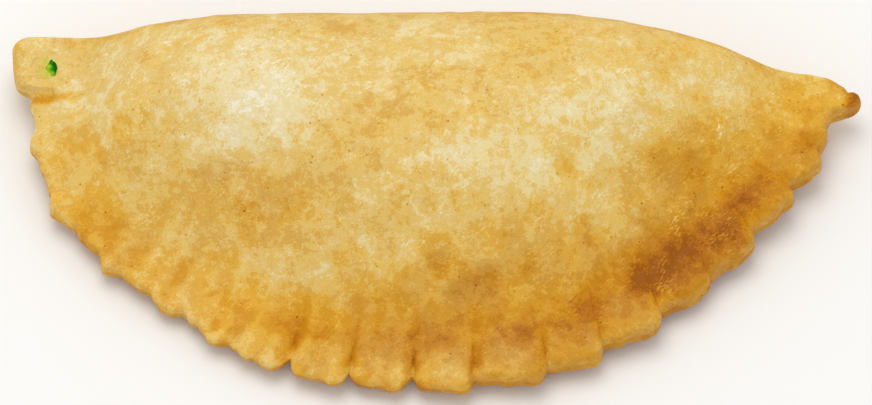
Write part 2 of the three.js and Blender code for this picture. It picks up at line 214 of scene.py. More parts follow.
def crimp_edge(along, phase, span, uneven, rounded):
    """How far the edge stands out: hooks on the left, lobes in the middle, leaning teeth on the right."""
    share = along / RIM.length
    side = np.abs(2 * phase - 1)
    blunted = smooth(share, *ROUNDING_ENDS)
    tooth = CRIMP_LEAN * mix(1, TOOTH_GROWTH, blunted) * phase**TOOTH_RISE
    tooth = tooth * (1 - phase ** mix(*TOOTH_DROP, blunted))
    lobe = CRIMP_BULGE * (1 - side**4)
    crimp = (1 + UNEVEN_BULGE * uneven) * mix(tooth, lobe, rounded)
    crimp = crimp * mix(1, BULGE_AT_TIP, smooth(share, *TIP_STARTS))
    flank = np.maximum(1 - (1 - phase) * span / HOOK_FRONT, 1 - phase * span / HOOK_BACK)
    hook = HOOK_BASE + HOOK_RISE * np.maximum(flank, 0)
    hook = hook * mix(HOOKED_AT_TAB, 1, smooth(share, *HOOKS_GROW))
    waves = EDGE_RAG * np.sin(RAG_WAVE * along + RAG_SWING * np.sin(RAG_DRIFT * along))
    ragged = FINE_RAG * np.array([noise.noise((a / RAG_SPACING, RAG_SEED, 0.0)) for a in along])
    ragged = ragged * smooth(share, *RAGS_START) * mix(1, RAGGED_AT_TIP, smooth(share, *RAGS_EASE))
    cut = NOTCH_CUT * fade(share, NOTCHES_START, NOTCHES_END) * bell((1 - side) * span / 2, CREASE_WIDTH)
    return mix(hook, crimp, smooth(share, *HOOKS_END)) - CRIMP_NOTCH + waves + ragged - cut


def crimp_form(along):
    """What pressing does at each place along the rim: how far it stands out, lifts, swells and creases."""
    index = np.clip(np.searchsorted(CRIMP_STARTS, along, side="right") - 1, 0, len(CRIMP_STARTS) - 1)
    on = smooth(along, CRIMPS_FROM, CRIMPS_FROM + CRIMP_RAMP)
    on = on * (1 - smooth(along, CRIMPS_TO - CRIMP_RAMP, CRIMPS_TO))
    span = CRIMP_SPANS[index]
    phase = np.clip((along - CRIMP_STARTS[index]) / span, 0, 1)
    side = np.abs(2 * phase - 1)
    share = along / RIM.length
    uneven = np.sin(UNEVEN_TURN * index + UNEVEN_START)
    pressed = mix(PRESSED_AT_TAB, 1, smooth(share, *PRESSING_STARTS))
    pressed = on * pressed * mix(1, PRESSED_AT_TIP, smooth(share, *PRESSING_EASES))
    creased = smooth(share, *CREASING_STARTS) * mix(1, CREASED_AT_TIP, smooth(share, *CREASING_EASES))
    rounded = ROUNDNESS * fade(share, ROUNDING_STARTS, ROUNDING_ENDS)
    step = CRIMP_LIFT * uneven * (1 - side**4) + CRIMP_STEP * (phase - 0.5) * (1 - side**8)
    return {
        "out": on * crimp_edge(along, phase, span, uneven, rounded),
        "raised": pressed * step,
        "pillow": pressed * PILLOW * (1 - side**2),
        "crease": on * creased * CREASE_DEPTH * bell((1 - side) * span / 2, CREASE_WIDTH),
        "crease_rows": mix(CREASE_ROWS, SHORT_CREASE_ROWS, smooth(share, *CREASES_SHORTEN)),
        "rounded": rounded,
        "side": side,
        "pressed": pressed,
    }


def half_rim(along):
    """Half the rim's thickness: two full sheets of dough towards the tip, pressed thin before the middle."""
    thin = fade(along / RIM.length, THIN_STARTS, THIN_ENDS)
    return mix(RIM_THICKNESS, PRESSED_THICKNESS, thin) / 2


def edge_middle(along, row):
    """Height of the middle of the rim's edge: the tab stands a step higher, the tip is lifted a little."""
    front = RIM_LIFT + half_rim(along)
    tab = 1 - smooth(along, CRIMPS_FROM - TAB_STEP_RUN, CRIMPS_FROM + TAB_STEP_RUN)
    near_tab = 1 - smooth(along, CRIMPS_FROM - TAB_SLOPE_BEFORE, CRIMPS_FROM + TAB_SLOPE_AFTER)
    near_tip = smooth(along, CRIMPS_TO - TIP_SLOPE, RIM.length)
    stepped = TAB_STEP * (1 - smooth(row, *TAB_STEP_ROWS))
    return front + (TAB_HEIGHT - front) * mix(near_tab, tab, stepped) + (TIP_HEIGHT - front) * near_tip


def rim_width_at(x):
    width = mix(TAB_RIM_WIDTH, RIM_WIDTH, smooth(x, *np.multiply(RIM_WIDENS, LENGTH)))
    return mix(width, TIP_RIM_WIDTH, smooth(x, *np.multiply(RIM_NARROWS, LENGTH)))


def blunt_edge(t):
    return (1 - (1 - np.clip(t, 0, 1)) ** EDGE_POWER) ** (1 / EDGE_POWER)


def round_edge(t):
    return np.sqrt(1 - (1 - np.clip(t, 0, 1)) ** 2)


def oval(places, x, y, half_length, half_width, turn=0.0, hard=1.0):
    """A soft oval in plan, 1 in its middle. The harder, the flatter its middle and the firmer its edge."""
    c, s = math.cos(math.radians(turn)), math.sin(math.radians(turn))
    dx, dy = places[..., 0] - x, places[..., 1] - y
    far = ((c * dx + s * dy) / half_length) ** 2 + ((c * dy - s * dx) / half_width) ** 2
    return np.exp(-(far**hard))


def dough_columns(along, rows, on_fold):
    """Columns of places in plan, from the edge in to the line where rim side and fold side meet."""
    share = along / RIM.length
    form = {name: value[:, None] for name, value in crimp_form(along).items()}
    fold_at = FOLD.at(share * FOLD.length)
    across = 2 * share - 1
    end_back = np.where(across < 0, TAB_END[1], TIP_END[1]) * DEPTH / 2
    end_back = mix(INNER_BACK, end_back, INNER_REACH / (2 - INNER_REACH))
    inner = np.stack([INNER_REACH * LENGTH / 2 * across, mix(INNER_BACK, end_back, across**2)], -1)
    base = fold_at if on_fold else RIM.at(along)
    edge = base if on_fold else base + RIM.outward(along) * form["out"]
    way = inner - edge
    reach = np.linalg.norm(way, axis=-1, keepdims=True)
    half = half_rim(along)[:, None]
    edge_half = np.where(on_fold, RIM_THICKNESS / 2, half)
    round_steps = edge_half * (1 - np.cos(EDGE_TURN) ** (2 / EDGE_POWER))
    even_steps = edge_half + (reach - edge_half) * np.linspace(0, 1, rows) ** ROW_CROWDING
    inward = np.hstack([round_steps, even_steps])
    width = rim_width_at(base[:, 0])[:, None]
    row = np.where(inward < width, inward / width, 1 + (inward - width) / (reach - width))
    full = fade(fold_at[:, 0], FOLD_RISES, FOLD_FALLS)
    edge_depth = mix(edge_half, SOFT_EDGE, form["rounded"] * (not on_fold))
    ends = np.where(share < 0.5, edge_middle(0.0, 0.0), edge_middle(RIM.length, 0.0))
    lip = LIP * fade(share, LIP_STARTS, LIP_ENDS) * (not on_fold)
    places = edge[:, None] + way[:, None] * (inward / reach)[..., None]
    from_rim = RIM.distance(places, RIM_PIECES)
    raised = form["raised"] * (1 - smooth(row, *RAISED_ROWS))
    return {
        **form, "at": places, "inward": inward, "row": row, "width": width, "share": share[:, None],
        "on_fold": on_fold, "full": full[:, None], "half": half, "lip": lip[:, None],
        "blunt": blunt_edge(inward / edge_depth),
        "creasing": form["crease"] * (1 - smooth(row, CREASE_FROM_ROW, form["crease_rows"])),
        "rim_middle": edge_middle(along[:, None], from_rim / width) + raised,
        "fold_middle": mix(ends, FOLD_HEIGHT, full)[:, None],
        "from_rim": from_rim, "from_fold": FOLD.distance(places, FOLD_PIECES),
    }


def fold_share(c):
    both = c["from_rim"] + c["from_fold"] + NEXT_TO_NOTHING
    return smooth(c["from_rim"] / both, *FOLD_TAKES_OVER)


def top_height(c):
    blunt = c["blunt"]
    pads = c["pillow"] * np.sin(np.pi * np.clip(c["row"], 0, 1)) - c["creasing"]
    rim_top = c["rim_middle"] + c["half"] * mix(c["lip"], 1, blunt)
    fold_top = c["fold_middle"] + RIM_THICKNESS / 2 * (1 - c["full"]) * blunt
    base = mix(rim_top, fold_top, fold_share(c)) + blunt * pads * (not c["on_fold"])
    x = c["at"][..., 0]
    past_rim = c["from_rim"] - rim_width_at(x)
    past_rim = (past_rim + np.hypot(past_rim, BELLY_START)) / 2
    reach = mix(BELLY_REACH, BELLY_END_REACH, smooth(np.abs(x), *np.multiply(BELLY_ENDS, LENGTH)))
    rise = 1 - (1 - np.clip(past_rim / reach, 0, 1)) ** BELLY_FULLNESS
    from_tab = np.linalg.norm(c["at"] - np.array(TAB_END) * (LENGTH / 2, DEPTH / 2), axis=-1)
    rise = rise * smooth(from_tab, *TAB_FLAT) * blunt * round_edge(c["from_fold"] / FOLD_REACH)
    crown = HEIGHT + sum(lift * oval(c["at"], *place) for *place, lift in SWELLINGS)
    return mix(base, crown, rise)


def under_height(c):
    blunt = c["blunt"]
    dip = UNDER_CREASE * c["crease"] * (1 - smooth(c["inward"] / c["width"], 0, 1)) * (not c["on_fold"])
    rim_under = c["rim_middle"] + c["half"] * c["lip"] * (1 - blunt) - (c["half"] - dip) * blunt
    fold_under = c["fold_middle"] - RIM_THICKNESS / 2 * (1 - c["full"]) * blunt
    settled = blunt * smooth(c["from_rim"] / rim_width_at(c["at"][..., 0]), *SETTLED_ROWS)
    settled = settled * round_edge(c["from_fold"] / UNDER_REACH)
    return mix(rim_under, fold_under, fold_share(c)) * (1 - settled)


def places_along():
    """Places along the rim for the columns, closer together beside each crease."""
    t = np.linspace(0, 1, CRIMP_COLUMNS, endpoint=False)
    crowded = t - COLUMN_CROWDING * np.sin(2 * math.pi * t) / (2 * math.pi)
    crimps = CRIMP_STARTS[:, None] + CRIMP_SPANS[:, None] * crowded
    tab = np.linspace(0, CRIMPS_FROM, TAB_COLUMNS, endpoint=False)
    tip = np.linspace(CRIMPS_TO, RIM.length, TIP_COLUMNS)
    return np.concatenate([tab, crimps.ravel(), tip])


def round_ring(rim_side, fold_side):
    """Joins values of the rim's and the fold's columns into rows that run right round the pastry."""
    return np.concatenate([rim_side, fold_side[-2:0:-1]]).swapaxes(0, 1)


def skin_faces(rows, ring):
    """Quads of one side. Each row is a ring but the last, where rim and fold columns share points."""
    here = np.arange(ring)
    after = (here + 1) % ring
    quads = []
    for r in range(rows - 2):
        outer, inner = r * ring, (r + 1) * ring
        quads.append(np.stack([outer + here, outer + after, inner + after, inner + here], -1))
    shared = np.minimum(here, ring - here)
    outer, inner = (rows - 2) * ring, (rows - 1) * ring
    quads.append(np.stack([outer + here, outer + after, inner + shared[after], inner + shared], -1))
    return np.concatenate(quads)


# What each point of the skin keeps of its column, for the relief and the browning.
SKIN_FACTS = ("row", "inward", "share", "side", "pressed", "creasing", "rim_middle", "from_rim", "from_fold",
              "lip")


def one_side(along, rows, height):
    """Points and facts of the top or the underside: rings from the edge in, then the shared inner line."""
    halves = [dough_columns(along, rows, on_fold) for on_fold in (False, True)]
    shape = halves[0]["row"].shape
    facts = {name: [np.broadcast_to(c[name], shape) for c in halves] for name in SKIN_FACTS}
    facts["fold"] = [np.zeros(shape), np.ones(shape)]
    facts["height"] = [height(c) for c in halves]
    facts["at"] = [c["at"] for c in halves]
    made = {}
    for name, (rim_part, fold_part) in facts.items():
        rings = round_ring(rim_part, fold_part)[:-1]
        made[name] = np.concatenate([rings.reshape(-1, *rings.shape[2:]), rim_part[:, -1]])
    return made, shape[1], 2 * len(along) - 2


def lumps(points, size):
    """Smooth unevenness of each point, from about -1 to 1, in lumps of that size."""
    return np.array([noise.noise(Vector(p)) for p in points / size])


def point_normals(points, faces):
    diagonals = points[faces[:, 2]] - points[faces[:, 0]], points[faces[:, 3]] - points[faces[:, 1]]
    flat = np.cross(*diagonals)
    total = np.zeros_like(points)
    for corner in range(4):
        np.add.at(total, faces[:, corner], flat)
    return total / np.maximum(np.linalg.norm(total, axis=1, keepdims=True), NEXT_TO_NOTHING**2)


# Unevenness all over the dough: size of the lumps, height, and a shift that keeps the two layers apart.
DOUGH_LUMPS = [(14.0, 0.35, 0), (6.0, 0.16, 50)]
RIM_LUMP_SIZE, RIM_LUMP_HEIGHT, RIM_LUMP_SHIFT = 3.4, 0.3, 90
RIB_HEIGHT, RIB_SPACING, RIB_SHARPNESS, RIB_ROWS, RIB_SHIFT = 0.3, 2.4, 1.6, 2, 40
# The seam between the two sheets of dough, along the edge.
SEAM_DEPTH, SEAM_WIDTH, SEAM_ROW = 0.35, 0.4, 0.06
# The underside is less uneven, and flat where it lies: its share, and the heights over which that comes in.
UNDER_RELIEF, UNDER_RELIEF_HEIGHTS = 0.5, (0.1, 2.5)
BLISTER_SPACING, BLISTER_SEED, BLISTER_SIZES = 4.4, 7, (0.7, 1.9)
BLISTER_RISE, BLISTER_RARITY, BLISTER_HARD, BLISTER_REACH = 0.16, 1.5, 1.2, 3
# Small dents: x, y, half sizes, turn in degrees, depth.
DENTS = [(0, -16, 2.6, 2.4, 0, 0.5), (16.4, -14.7, 3, 1.8, 30, 0.5), (26, -9, 2.4, 2, 0, 0.4),
         (22, -1.4, 3, 2.4, 0, 0.35), (7, -18.4, 5, 2.4, 20, 0.5), (39, -12.8, 7, 3, 38, 0.5),
         (-38, -3, 12, 4, 0, 0.4), (-59, -3, 5, 4, 0, 0.4), (72.7, 23, 0.6, 2.2, -15, 0.5)]
# Wrinkles where the dough was drawn tight towards the tip: points of each in plan.
WRINKLES = [[(49.6, 10.6), (49.4, 5.4), (45.3, 1), (42.4, -3.2), (39.2, -12.8)],
            [(52, -2), (52, -5.3), (46, -8.7), (44.4, -12), (38.8, -15.8)]]
WRINKLE_HEIGHT, WRINKLE_WIDTH = 0.45, 1.1
PATCH_HARD = 1.7


def spread(patches, places):
    return sum(amount * oval(places, *place, hard=PATCH_HARD) for *place, amount in patches)


def blisters(places):
    """Small fried blisters, one near each knot of a loose net over the plan."""
    draw = np.random.default_rng(BLISTER_SEED)
    across = np.arange(-LENGTH / 2, LENGTH / 2, BLISTER_SPACING)
    deep = np.arange(-DEPTH / 2, DEPTH / 2, BLISTER_SPACING)
    knots = np.stack(np.meshgrid(across, deep), -1).reshape(-1, 2)
    knots = knots + draw.uniform(-0.5, 0.5, knots.shape) * BLISTER_SPACING
    sizes = draw.uniform(*BLISTER_SIZES, len(knots))
    heights = BLISTER_RISE * sizes * draw.uniform(0, 1, len(knots)) ** BLISTER_RARITY
    total = np.zeros(len(places))
    for knot, size, height in zip(knots, sizes, heights):
        near = np.where(np.abs(places - knot).max(-1) < BLISTER_REACH * size)[0]
        total[near] += height * oval(places[near], *knot, size, size, hard=BLISTER_HARD)
    return total


def wrinkles(places):
    """How near each place is to a wrinkle's crest, 1 on it."""
    far = np.full(len(places), np.inf)
    for line in WRINKLES:
        for a, b in zip(np.array(line), np.array(line[1:])):
            t = np.clip(((places - a) @ (b - a)) / ((b - a) @ (b - a)), 0, 1)
            far = np.minimum(far, np.linalg.norm(places - a - t[:, None] * (b - a), axis=-1))
    return bell(far, WRINKLE_WIDTH)


def rim_ribs(skin):
    """Ribs across the pressed rim, from about -1 to 1, strongest from the tab to the middle."""
    share = skin["share"]
    across = np.column_stack([share * RIM.length, RIB_ROWS * skin["row"], np.full(len(share), RIB_SHIFT)])
    where = fade(share, RIBS_START, TIP_STARTS) * mix(1, RIBBED_AT_TIP, smooth(share, *RIBS_EASE))
    return RIB_SHARPNESS * where * lumps(across, RIB_SPACING)


def make_pastry():
    """The whole skin: top and underside share the ring of points along the edge."""
    along = places_along()
    top, top_rows, ring = one_side(along, TOP_ROWS, top_height)
    under, under_rows, ring = one_side(along, UNDER_ROWS, under_height)
    top_faces, under_faces = skin_faces(top_rows, ring), skin_faces(under_rows, ring)
    moved = np.where(under_faces < ring, under_faces, under_faces + len(top["row"]) - ring)
    faces = np.concatenate([top_faces, moved[:, ::-1]])
    skin = {name: np.concatenate([top[name], under[name][ring:]]) for name in top}
    skin["under"] = (np.arange(len(skin["row"])) >= len(top["row"])).astype(float)
    places = skin["at"]
    points = np.column_stack([places, skin["height"]])
    on_rim = (1 - skin["fold"]) * (1 - smooth(skin["row"], *RIM_ROWS))
    relief = sum(height * lumps(points + shift, size) for size, height, shift in DOUGH_LUMPS)
    rim_lumps = RIM_LUMP_HEIGHT * lumps(points + RIM_LUMP_SHIFT, RIM_LUMP_SIZE)
    relief += on_rim * skin["pressed"] * rim_lumps
    skin["ribs"] = on_rim * rim_ribs(skin)
    relief += RIB_HEIGHT * skin["ribs"]
    relief += blisters(places) + WRINKLE_HEIGHT * wrinkles(places) - spread(DENTS, places)
    seam = bell(points[:, 2] - skin["rim_middle"], SEAM_WIDTH) * (skin["row"] < SEAM_ROW)
    seam *= (1 - skin["fold"]) * (1 - skin["lip"])
    relief -= SEAM_DEPTH * seam * fade(skin["share"], SEAM_STARTS, TIP_STARTS)
    relief *= mix(1, UNDER_RELIEF * smooth(points[:, 2], *UNDER_RELIEF_HEIGHTS), skin["under"])
    points += relief[:, None] * point_normals(points, faces)
    points[:, 2] = np.maximum(points[:, 2], 0)
    return points, faces, skin


# Browning in plan, with some painted light and shade: x, y, half sizes, turn in degrees, and how much darker
# (or paler) the crust is there.
BROWNING_AND_PAINTED_LIGHT = [
    # Tab and left end
    (-67, 8, 8, 8, 0, 0.1), (-53, -9, 5, 7, -30, 0.09), (-49, 4, 6, 4, 0, 0.06), (-61, 8, 9, 4.5, 0, 0.05),
    (-53, 10, 4, 2.5, 0, 0.08), (-59.5, -4.5, 6, 5, 0, 0.22), (-58, 6, 3.5, 2.3, 0, 0.08),
    (-62.2, 0.2, 2.6, 3, 0, 0.1), (-51.5, 17, 4, 7, 0, 0.08), (-63.9, -2, 2.6, 2.2, 0, -0.12),
    (-50, 16, 22, 14, 0, -0.03), (-52.6, -3, 2.2, 6, 0, 0.06),
    # Left rim
    (-20, -30.6, 5, 3, 0, 0.2), (-30, -27.6, 3.8, 2.8, 0, 0.22), (-35.2, -24.2, 3, 2.4, 0, 0.08),
    (-44.6, -18.8, 2.4, 3.6, 0, -0.1), (-24.5, -22.5, 8.5, 4.7, -10, 0.15), (-15.6, -27, 3, 3, 0, 0.08),
    (-52.5, -14.7, 3.2, 2.3, 0, 0.1), (-24.5, -28.6, 7, 3, 0, 0.05), (-28.6, -30.6, 4, 1.4, 0, -0.08),
    # Left of the belly
    (-42, -6, 20, 8, 0, 0.06), (-12, 4.5, 11, 5, -10, 0.08), (-41, 17, 6, 4, 0, -0.05),
    # The palest patch, at x -29 and y 10, is partly paler dough and partly a painted highlight where the
    # belly's top faces the lamp.
    (-24, -8.3, 9, 4, 0, 0.05), (-30, 1.4, 4.5, 2.5, 0, -0.06), (-29, 10, 17, 10, 0, -0.13),
    (-38, -3, 13, 4.6, 0, 0.1), (-18, 4, 13, 9, 0, 0.06), (-40.5, -3.6, 3, 4, 0, 0.07),
    (-14.5, -16.8, 3.7, 3.4, 0, 0.09), (-26.4, 11.6, 2.7, 3.2, 0, 0.06), (-28.7, -6.6, 6.4, 2.9, 0, 0.07),
    (-18.2, -18, 3.6, 3.2, 0, -0.12), (-42.5, 4.6, 6, 6, 0, 0.06), (-46, -5, 5.5, 6, 0, -0.04),
    # Middle of the belly
    (22, 0, 14, 8, 0, -0.08), (8, -13, 10, 5.5, 0, 0.12), (10, 14, 14, 4, 10, 0.09), (20, -12, 9, 6, 0, 0.05),
    (-4, -4.5, 6, 4, 0, 0.02), (27, 11, 11, 8, 0, -0.06), (10, -2, 13, 5, 0, -0.11),
    (25, -11.5, 5, 6, 0, 0.09), (0, -16, 2.1, 2.1, 0, 0.14), (11, -10.6, 2.1, 1.2, 0, 0.1),
    (16.4, -14.7, 2.2, 1.4, 0, 0.13), (26, -9, 2.1, 1.8, 0, 0.12), (22, -1.4, 2.3, 1.8, 0, 0.12),
    (22.4, -6.7, 5.5, 4, 0, -0.08), (-1, 9, 4, 2.5, 0, 0.08), (27, -3, 16, 8, 0, 0.055),
    # Back, along the fold
    (12, 30, 26, 3.5, 0, 0.1), (11, 22, 8, 5, 0, 0.07), (29, 18, 4.5, 4, 0, 0.12), (7, 21, 17, 6, 0, -0.05),
    (-16, 24.5, 5, 2.5, 0, 0.1), (21.5, 23, 2.2, 2.4, 0, 0.08), (46, 25, 4, 2.6, -20, 0.06),
    (18, 18, 7, 5, 0, 0.06), (-40, 27.7, 6, 2, 0, 0.08),
    # Front rim and the valley behind it, the valley partly painted shade
    (-6.5, -23, 9, 6.5, 0, 0.18), (-9, -31.5, 6, 3.5, 0, 0.14), (11, -20, 11, 5.5, 0, 0.1),
    (17, -29.4, 8, 3.5, 0, 0.1), (25, -24.4, 4, 4, 0, 0.15), (15, -26, 2.2, 2, 0, 0.14),
    (7, -18.4, 4.6, 2, 20, 0.14), (2.7, -24, 4.6, 2.8, 20, 0.07), (20, -25, 30, 10, 20, 0.12),
    (27, -19.4, 4, 2.4, 25, 0.18), (1, -18.5, 9, 6, 0, 0.05), (-2.4, -27.8, 2.8, 3.6, 0, -0.07),
    # Right of the belly
    (41, -5, 9, 7, 30, 0.06), (48, -0.8, 5, 3.6, 45, -0.14), (42.5, 3.5, 5.5, 4.5, 0, 0.26),
    (40, 0, 5, 3.5, 0, -0.1), (46, 7.7, 4, 3.8, 0, 0.11), (31.5, -14.5, 6, 6, 0, 0.08),
    (48.8, 10.2, 6, 5, 0, 0.05), (56.6, 15.7, 3.4, 3.4, 0, 0.09), (36.4, 1.2, 5.5, 3.4, 0, 0.06),
    (35.4, 8, 5, 3.4, 0, -0.08),
    # Right rim and the valley behind it, the valley partly painted shade
    (61, 7, 9.5, 6, 60, 0.27), (52, -6.5, 4, 3, 40, 0.2), (37, -22.6, 7, 4, 25, 0.12),
    (49, -11.5, 8, 4, 40, 0.03), (31, -18, 3.4, 2.6, 25, -0.2), (45, -8.2, 14, 7, 36, 0.3),
    (39, -12.8, 6.5, 4, 38, 0.1), (54, 0, 4.5, 4.8, 45, 0.12), (59, 5, 4, 3.5, 45, 0.06),
    (45, -16.6, 5, 2.8, 25, 0.12), (54.5, 3.4, 2, 2.4, 0, 0.1), (60.3, 1.7, 2.4, 2.5, 0, 0.1),
    (49.6, -6.4, 4, 3, 36, 0.07),
    # Tip
    (70.7, 23.5, 3.5, 2, -20, 0.1), (66, 12.4, 3.2, 2.4, 45, 0.14), (65.5, 20, 6, 3.2, -20, 0.14),
    (64, 14.6, 7, 6, 0, 0.06), (60.3, 24.8, 6, 2.4, 0, 0.09),
]
# Small marks: a painted shadow below the tab's step, a line inside the tab's end, one at the tip's neck, and
# on single crimps from left to right.
MARKS = [
    # Painted shadow where the tab stands a step over the rim.
    (-69, 21.8, 3.2, 0.9, -4, 0.28), (-65, 21.4, 4, 0.9, -8, 0.12), (-74, 29.8, 0.6, 3.6, 0, 0.16),
    (71.2, 24, 2.8, 1.2, -34, 0.2),
    # The paler marks at x -32.6 and -29.3 are painted highlights on the tops of two pads.
    (-46.6, -18.6, 2.2, 2.2, 0, 0.12), (-36, -24, 2.8, 1.2, 40, 0.2), (-32.6, -28.8, 2.2, 1.5, 0, -0.15),
    (-29.3, -28.6, 1.2, 1.7, 0, -0.12), (-22.2, -32.4, 1.9, 1.4, 0, -0.12), (-13.8, -32.8, 2.4, 1.8, 0, 0.08),
    (-13, -33.5, 2.6, 1.7, 0, 0.08), (-6, -32.5, 2, 3.4, 0, -0.1), (-2.1, -34, 3.2, 1.6, 0, 0.12),
    (2, -32.5, 2.6, 1.8, 0, -0.06), (6.2, -24.2, 3.6, 2.4, 0, -0.1), (13.7, -29.4, 2.2, 2.7, 0, -0.1),
    (18.6, -31.8, 3.6, 2.5, 0, 0.1), (54.7, -7.7, 3.6, 1.6, 40, 0.07),
]
# Where the oil has turned the crust golden rather than tan, or less golden, from left to right.
GOLDEN = [
    (-69, 22, 6, 1.4, 0, 0.6), (-68, 28, 11, 4.5, 0, -0.45), (-66, 8, 8, 9, 0, 0.35), (-59, -3, 6, 6, 0, 0.6),
    (-53, 10, 4, 3, 0, 0.4), (-42, -18, 9, 5, -30, -0.2), (-38, -3, 13, 5, 0, -0.15),
    # Less golden at x -29 and y 10: whiter there, partly a painted highlight.
    (-29, 10, 16, 10, 0, -0.3), (-27, -22, 10, 5, -15, 0.3), (-18, 18, 38, 12, 0, -0.25),
    (0, 30.5, 45, 4, 0, -0.2), (1, -26, 15, 4, 0, -0.4), (7, -18.4, 6, 3, 20, -0.25),
    (21.5, 23, 2.5, 2.5, 0, 0.5), (22, -1.4, 2.5, 2.5, 0, 0.5), (23, -1, 13, 8, 0, 0.4),
    (45, 8, 10, 7, 0, 0.15), (46, 25, 5, 3, 0, 0.4), (55, 10, 16, 14, 0, 0.35), (60, 0, 9, 6, 60, 0.3),
    (66, 19, 9, 9, -20, 0.7),
]
# Where dry, floury specks show most.
FLOURY = [(-40, 18, 22, 14, 0, 0.12), (47, -2, 4, 16, -25, 0.22), (45, -10, 10, 5, 36, 0.05),
          (27, 11, 12, 9, 0, 0.1)]
# A plain crust's tone, golden tint and flouriness, and the flour that a wrinkle's crest adds.
PLAIN_TONE, PLAIN_GOLDEN, PLAIN_FLOURY, WRINKLE_FLOURY = 0.26, 0.4, 0.4, 0.5

# The outlines of patches wander: size of the bends, reach, and shifts that keep the two directions apart.
WANDERING = [(11.0, 1.5, (20, 70)), (3.6, 0.9, (120, 170))]
# Small marks and fine lines wander less.
MARK_WANDER, LINE_WANDER = 0.2, 0.3

# The valley behind the rim, browner and painted darker for the shade that falls in it: distance from the
# edge, also in the middle, and half widths outward and inward.
VALLEY_IN, VALLEY_WIDTHS = (6.5, 7.2), (3.8, 4.6)
VALLEY_MOVES_IN, VALLEY_MOVES_BACK, VALLEY_STARTS = (0.36, 0.44), (0.56, 0.62), (0.2, 0.38)
# Swollen pads of the crimps, dry on top, and the pads' outer edge, painted darker partly for the shade on the
# rim's side.
PAD_ROW, PAD_ROWS, PAD_DRIES, PAD_EDGE_WIDTH = 0.45, 0.3, (0.3, 0.42), 1.3
PAD_EDGE_STARTS, PAD_EDGE_ENDS = (0.38, 0.44), (0.6, 0.66)
# Creases are painted darker inside the edge, partly browning and partly the shade that falls in them, and
# more from the middle on. Amber dough lies beside them, also partly painted shade.
CREASE_SHOWS, CREASE_DEEPENS = (0.8, 2.6), (0.4, 0.46)
AMBER_SIDE, AMBER_ROWS_START, AMBER_ROWS_END = 0.4, (0.12, 0.3), (0.7, 1.2)
AMBER_STARTS, AMBER_EASES, AMBER_EASING = (0.24, 0.32), (0.56, 0.64), 0.6
RIM_COLOUR_ENDS = (0.85, 0.95)
# The rim's side wall on the right: how far it reaches over the edge, its tone and tint and their shares.
WALL_INWARD, WALL_STARTS = (0.15, 0.7), (0.52, 0.64)
WALL_TONE, WALL_TONE_SHARE, WALL_GOLDEN, WALL_GOLDEN_SHARE = 0.55, 0.6, 0.1, 0.7
# The fold's back, the underside in from the fold, the burnt tip, and the front's right and whole. The fold's
# back and the front's right are browner and also painted darker for shade.
FOLD_BACK_REACH, FOLD_BACK_STARTS, FOLD_BACK_ENDS = (1.5, 5), (0.04, 0.16), (0.84, 0.96)
BELOW_FOLD = (0, 7)
BURNT_TIP, BURNT_TIP_HARD = (74.9, 20.4, 2.9, 2.8), 3
RIGHT_X, RIGHT_Y, FRONT_Y = (10, 60), (-4, 8), (0, 20)
# How much each of these darkens the crust, and how much it turns it golden. In the valley, creases, amber,
# pad edges, fold's back and front right the darkening is partly painted shade; the ribs get painted light and
# shade.
DARKENS = {"valley": 0.22, "pad": 0.02, "pad_edge": 0.06, "crease": 0.2, "deep_crease": 0.14, "amber": 0.1,
           "fold_back": 0.14, "below": 0.18, "burnt_tip": 0.62, "ribs": -0.09, "front_right": 0.08}
GILDS = {"valley": 0.2, "dry_pad": -0.5, "crease": 0.3, "amber": 0.3, "burnt_tip": 0.6, "front": 0.25}

# A fleck of chopped herb stuck to the tab: middle in plan and full sizes.
FLECK_PLACE, FLECK_SIZE = (-67.9, 26.9), (1.7, 3.1, 0.9)
# It rests at the mean height of a few points near it, those on top first.
FLECK_RESTS_ON, FLECK_TOP_FIRST = 6, 0.05
# Its crumples, in shares of its half sizes: size, height, shift. Its roundness is that of a divided ball.
FLECK_CRUMPLES, FLECK_DIVISIONS = [(0.7, 0.4, 30), (0.3, 0.15, 60)], 4
# How dried it is, more so to the left and the front, and in spots: size, share, shift.
FLECK_DRIED, DRIED_LEFT, DRIED_FRONT, DRIED_SPOTS = 0.45, 0.45, 0.25, (0.5, 0.35, 90)
# Its juice in the dough beside it.
STAIN_OFFSET, STAIN_HALF, STAIN_HARD = (-0.6, 0.3), (1.6, 2.3), 1.3


